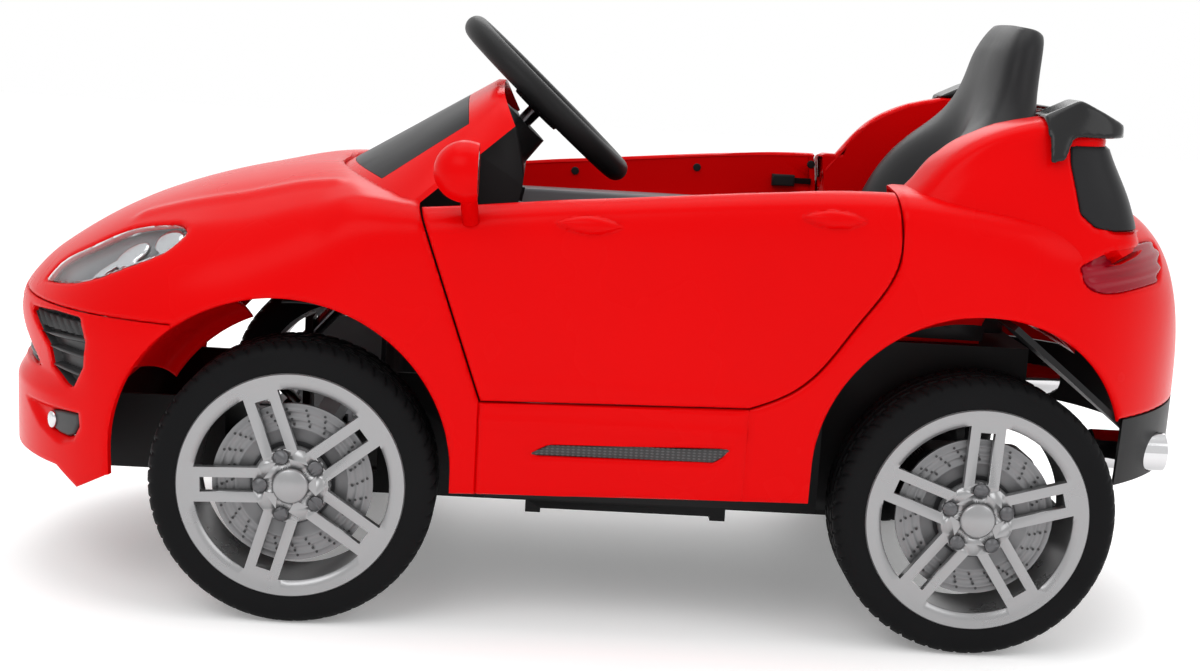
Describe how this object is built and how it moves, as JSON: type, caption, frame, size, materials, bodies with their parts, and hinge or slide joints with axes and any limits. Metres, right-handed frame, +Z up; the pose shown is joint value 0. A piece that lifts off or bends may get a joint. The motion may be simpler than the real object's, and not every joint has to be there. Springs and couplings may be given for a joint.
{
  "type": "electric ride-on car",
  "caption": "Child's open electric ride-on car with opening doors, steered front wheels, bucket seat, low windscreen and rear spoiler.",
  "frame": {"origin": "on the ground, under the middle of the car's length and width", "axes": "+X towards the tail, +Y towards the right-hand side seen by the rider, +Z up"},
  "size_m": [1.0698, 0.598, 0.5351],
  "materials": {
    "red_plastic": "glossy moulded",
    "black_plastic": "satin moulded",
    "grey_plastic": "satin moulded",
    "dark_panel": "gloss",
    "clear_lens": "clear",
    "tail_lens": "ribbed gloss",
    "silver": "silver paint",
    "chrome": "plated",
    "mirror": "polished",
    "tyre": "moulded with tread",
    "steel": "zinc plated",
    "battery_case": "moulded"
  },
  "bodies": {
    "car_body": {"battery": "battery_case", "cabin_tub": "black_plastic", "chassis": "black_plastic", "control_box": "black_plastic", "dashboard": "black_plastic", "drive_units": "black_plastic", "exhaust_tips": "chrome", "fog_lamps": "silver", "front_axle_beam": "steel", "front_body": "red_plastic", "front_bumper": "red_plastic", "front_grille": "black_plastic", "headlight_lenses": "clear_lens", "headlight_reflectors": "silver", "rear_axle": "steel", "rear_body": "red_plastic", "rear_diffuser": "black_plastic", "rear_trays": "black_plastic", "rear_window": "dark_panel", "seat": "black_plastic", "side_vents": "black_plastic", "sill_trims": "black_plastic", "sills": "red_plastic", "spoiler": "black_plastic", "tail_lights": "tail_lens", "windscreen": "dark_panel", "windscreen_surround": "red_plastic"},
    "door_left": {"door_left": "red_plastic", "door_liner_left": "grey_plastic", "mirror_left": "red_plastic", "mirror_glass_left": "mirror"},
    "door_right": {"door_right": "red_plastic", "door_liner_right": "grey_plastic", "mirror_right": "red_plastic", "mirror_glass_right": "mirror"},
    "latch_left": {"latch_left": "black_plastic"},
    "latch_right": {"latch_right": "black_plastic"},
    "steering": {"steering_wheel": "black_plastic", "steering_column": "steel", "steering_trim": "silver"},
    "horn": {"horn_button": "black_plastic"},
    "knuckle_left": {"knuckle_left": "steel"},
    "knuckle_right": {"knuckle_right": "steel"},
    "tie_rod": {"tie_rod": "steel"},
    "pedal": {"pedal": "black_plastic"},
    "power_switch": {"power_switch": "black_plastic"},
    "direction_switch": {"direction_switch": "black_plastic"},
    "wheel_front_left": {"tyre_front_left": "tyre", "rim_front_left": "silver", "wheel_trim_front_left": "silver"},
    "wheel_front_right": {"tyre_front_right": "tyre", "rim_front_right": "silver", "wheel_trim_front_right": "silver"},
    "wheel_rear_left": {"tyre_rear_left": "tyre", "rim_rear_left": "silver", "wheel_trim_rear_left": "silver"},
    "wheel_rear_right": {"tyre_rear_right": "tyre", "rim_rear_right": "silver", "wheel_trim_rear_right": "silver"}
  },
  "joints": [
    {"name": "steering_turn", "type": "hinge", "parent": "car_body", "child": "steering", "pos_m": [-0.061, 0, 0.441], "axis": [0.6691, 0, 0.7431], "range_deg": [-36, 36]},
    {"name": "knuckle_left_turn", "type": "hinge", "parent": "car_body", "child": "knuckle_left", "pos_m": [-0.2565, -0.165, 0.12], "axis": [0, 0, 1], "range_deg": [-25, 25]},
    {"name": "knuckle_right_turn", "type": "hinge", "parent": "car_body", "child": "knuckle_right", "pos_m": [-0.2565, 0.165, 0.12], "axis": [0, 0, 1], "range_deg": [-25, 25]},
    {"name": "tie_rod_turn", "type": "hinge", "parent": "knuckle_left", "child": "tie_rod", "pos_m": [-0.3, -0.165, 0.1315], "axis": [0, 0, 1], "range_deg": [-25, 25]},
    {"name": "door_left_swing", "type": "hinge", "parent": "car_body", "child": "door_left", "pos_m": [-0.09165, -0.2515, 0.25335], "axis": [0.3381, 0, -0.9411], "range_deg": [0, 45]},
    {"name": "door_right_swing", "type": "hinge", "parent": "car_body", "child": "door_right", "pos_m": [-0.09165, 0.2515, 0.25335], "axis": [-0.3381, 0, 0.9411], "range_deg": [0, 45]},
    {"name": "latch_left_slide", "type": "slide", "parent": "door_left", "child": "latch_left", "axis": [1, 0, 0], "range_m": [0, 0.01]},
    {"name": "latch_right_slide", "type": "slide", "parent": "door_right", "child": "latch_right", "axis": [1, 0, 0], "range_m": [0, 0.01]},
    {"name": "horn_press", "type": "slide", "parent": "steering", "child": "horn", "axis": [-0.6691, 0, -0.7431], "range_m": [0, 0.002], "stiffness_N_per_m": 500},
    {"name": "pedal_press", "type": "hinge", "parent": "car_body", "child": "pedal", "pos_m": [-0.126, 0.062, 0.115], "axis": [0, -1, 0], "range_deg": [0, 12], "stiffness_Nm_per_rad": 2},
    {"name": "power_switch_tip", "type": "hinge", "parent": "car_body", "child": "power_switch", "pos_m": [-0.08795, 0.085, 0.33657], "axis": [0, 1, 0], "range_deg": [-8, 8]},
    {"name": "direction_switch_tip", "type": "hinge", "parent": "car_body", "child": "direction_switch", "pos_m": [-0.08795, -0.085, 0.33657], "axis": [0, 1, 0], "range_deg": [-8, 8]},
    {"name": "wheel_front_left_spin", "type": "hinge", "parent": "knuckle_left", "child": "wheel_front_left", "pos_m": [-0.2565, -0.219, 0.12], "axis": [0, 1, 0], "continuous": true},
    {"name": "wheel_rear_left_spin", "type": "hinge", "parent": "car_body", "child": "wheel_rear_left", "pos_m": [0.3185, -0.219, 0.12], "axis": [0, 1, 0], "continuous": true},
    {"name": "wheel_front_right_spin", "type": "hinge", "parent": "knuckle_right", "child": "wheel_front_right", "pos_m": [-0.2565, 0.219, 0.12], "axis": [0, 1, 0], "continuous": true},
    {"name": "wheel_rear_right_spin", "type": "hinge", "parent": "car_body", "child": "wheel_rear_right", "pos_m": [0.3185, 0.219, 0.12], "axis": [0, 1, 0], "continuous": true}
  ],
  "couplings": [
    {"joint": "knuckle_left_turn", "follows": "steering_turn", "ratio": -0.69},
    {"joint": "knuckle_right_turn", "follows": "steering_turn", "ratio": -0.69},
    {"joint": "tie_rod_turn", "follows": "steering_turn", "ratio": 0.69}
  ]
}
